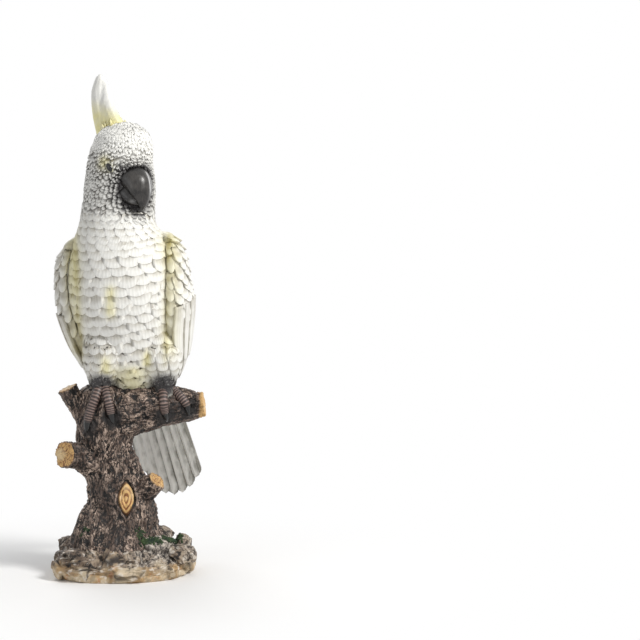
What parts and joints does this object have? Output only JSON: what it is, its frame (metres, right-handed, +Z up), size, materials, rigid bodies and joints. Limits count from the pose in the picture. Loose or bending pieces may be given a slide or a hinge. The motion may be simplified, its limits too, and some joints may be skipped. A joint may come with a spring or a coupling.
{
  "type": "parrot figurine",
  "caption": "White crested parrot with folded wings, perched on a gnarled tree stump that rises from a low rocky base, cast in one piece.",
  "frame": {"origin": "centre of the flat underside of the rocky base", "axes": "+Z up, -Y towards the viewer of the bird's breast, +X to that viewer's right, which is the side the bird's head turns to"},
  "size_m": [0.1255, 0.1277, 0.396],
  "materials": {
    "painted_resin": "hand-painted cast resin: off-white plumage, dark bark and grey-brown stone, matt to eggshell"
  },
  "bodies": {
    "root": {"cockatoo_figurine": "painted_resin"}
  },
  "joints": []
}
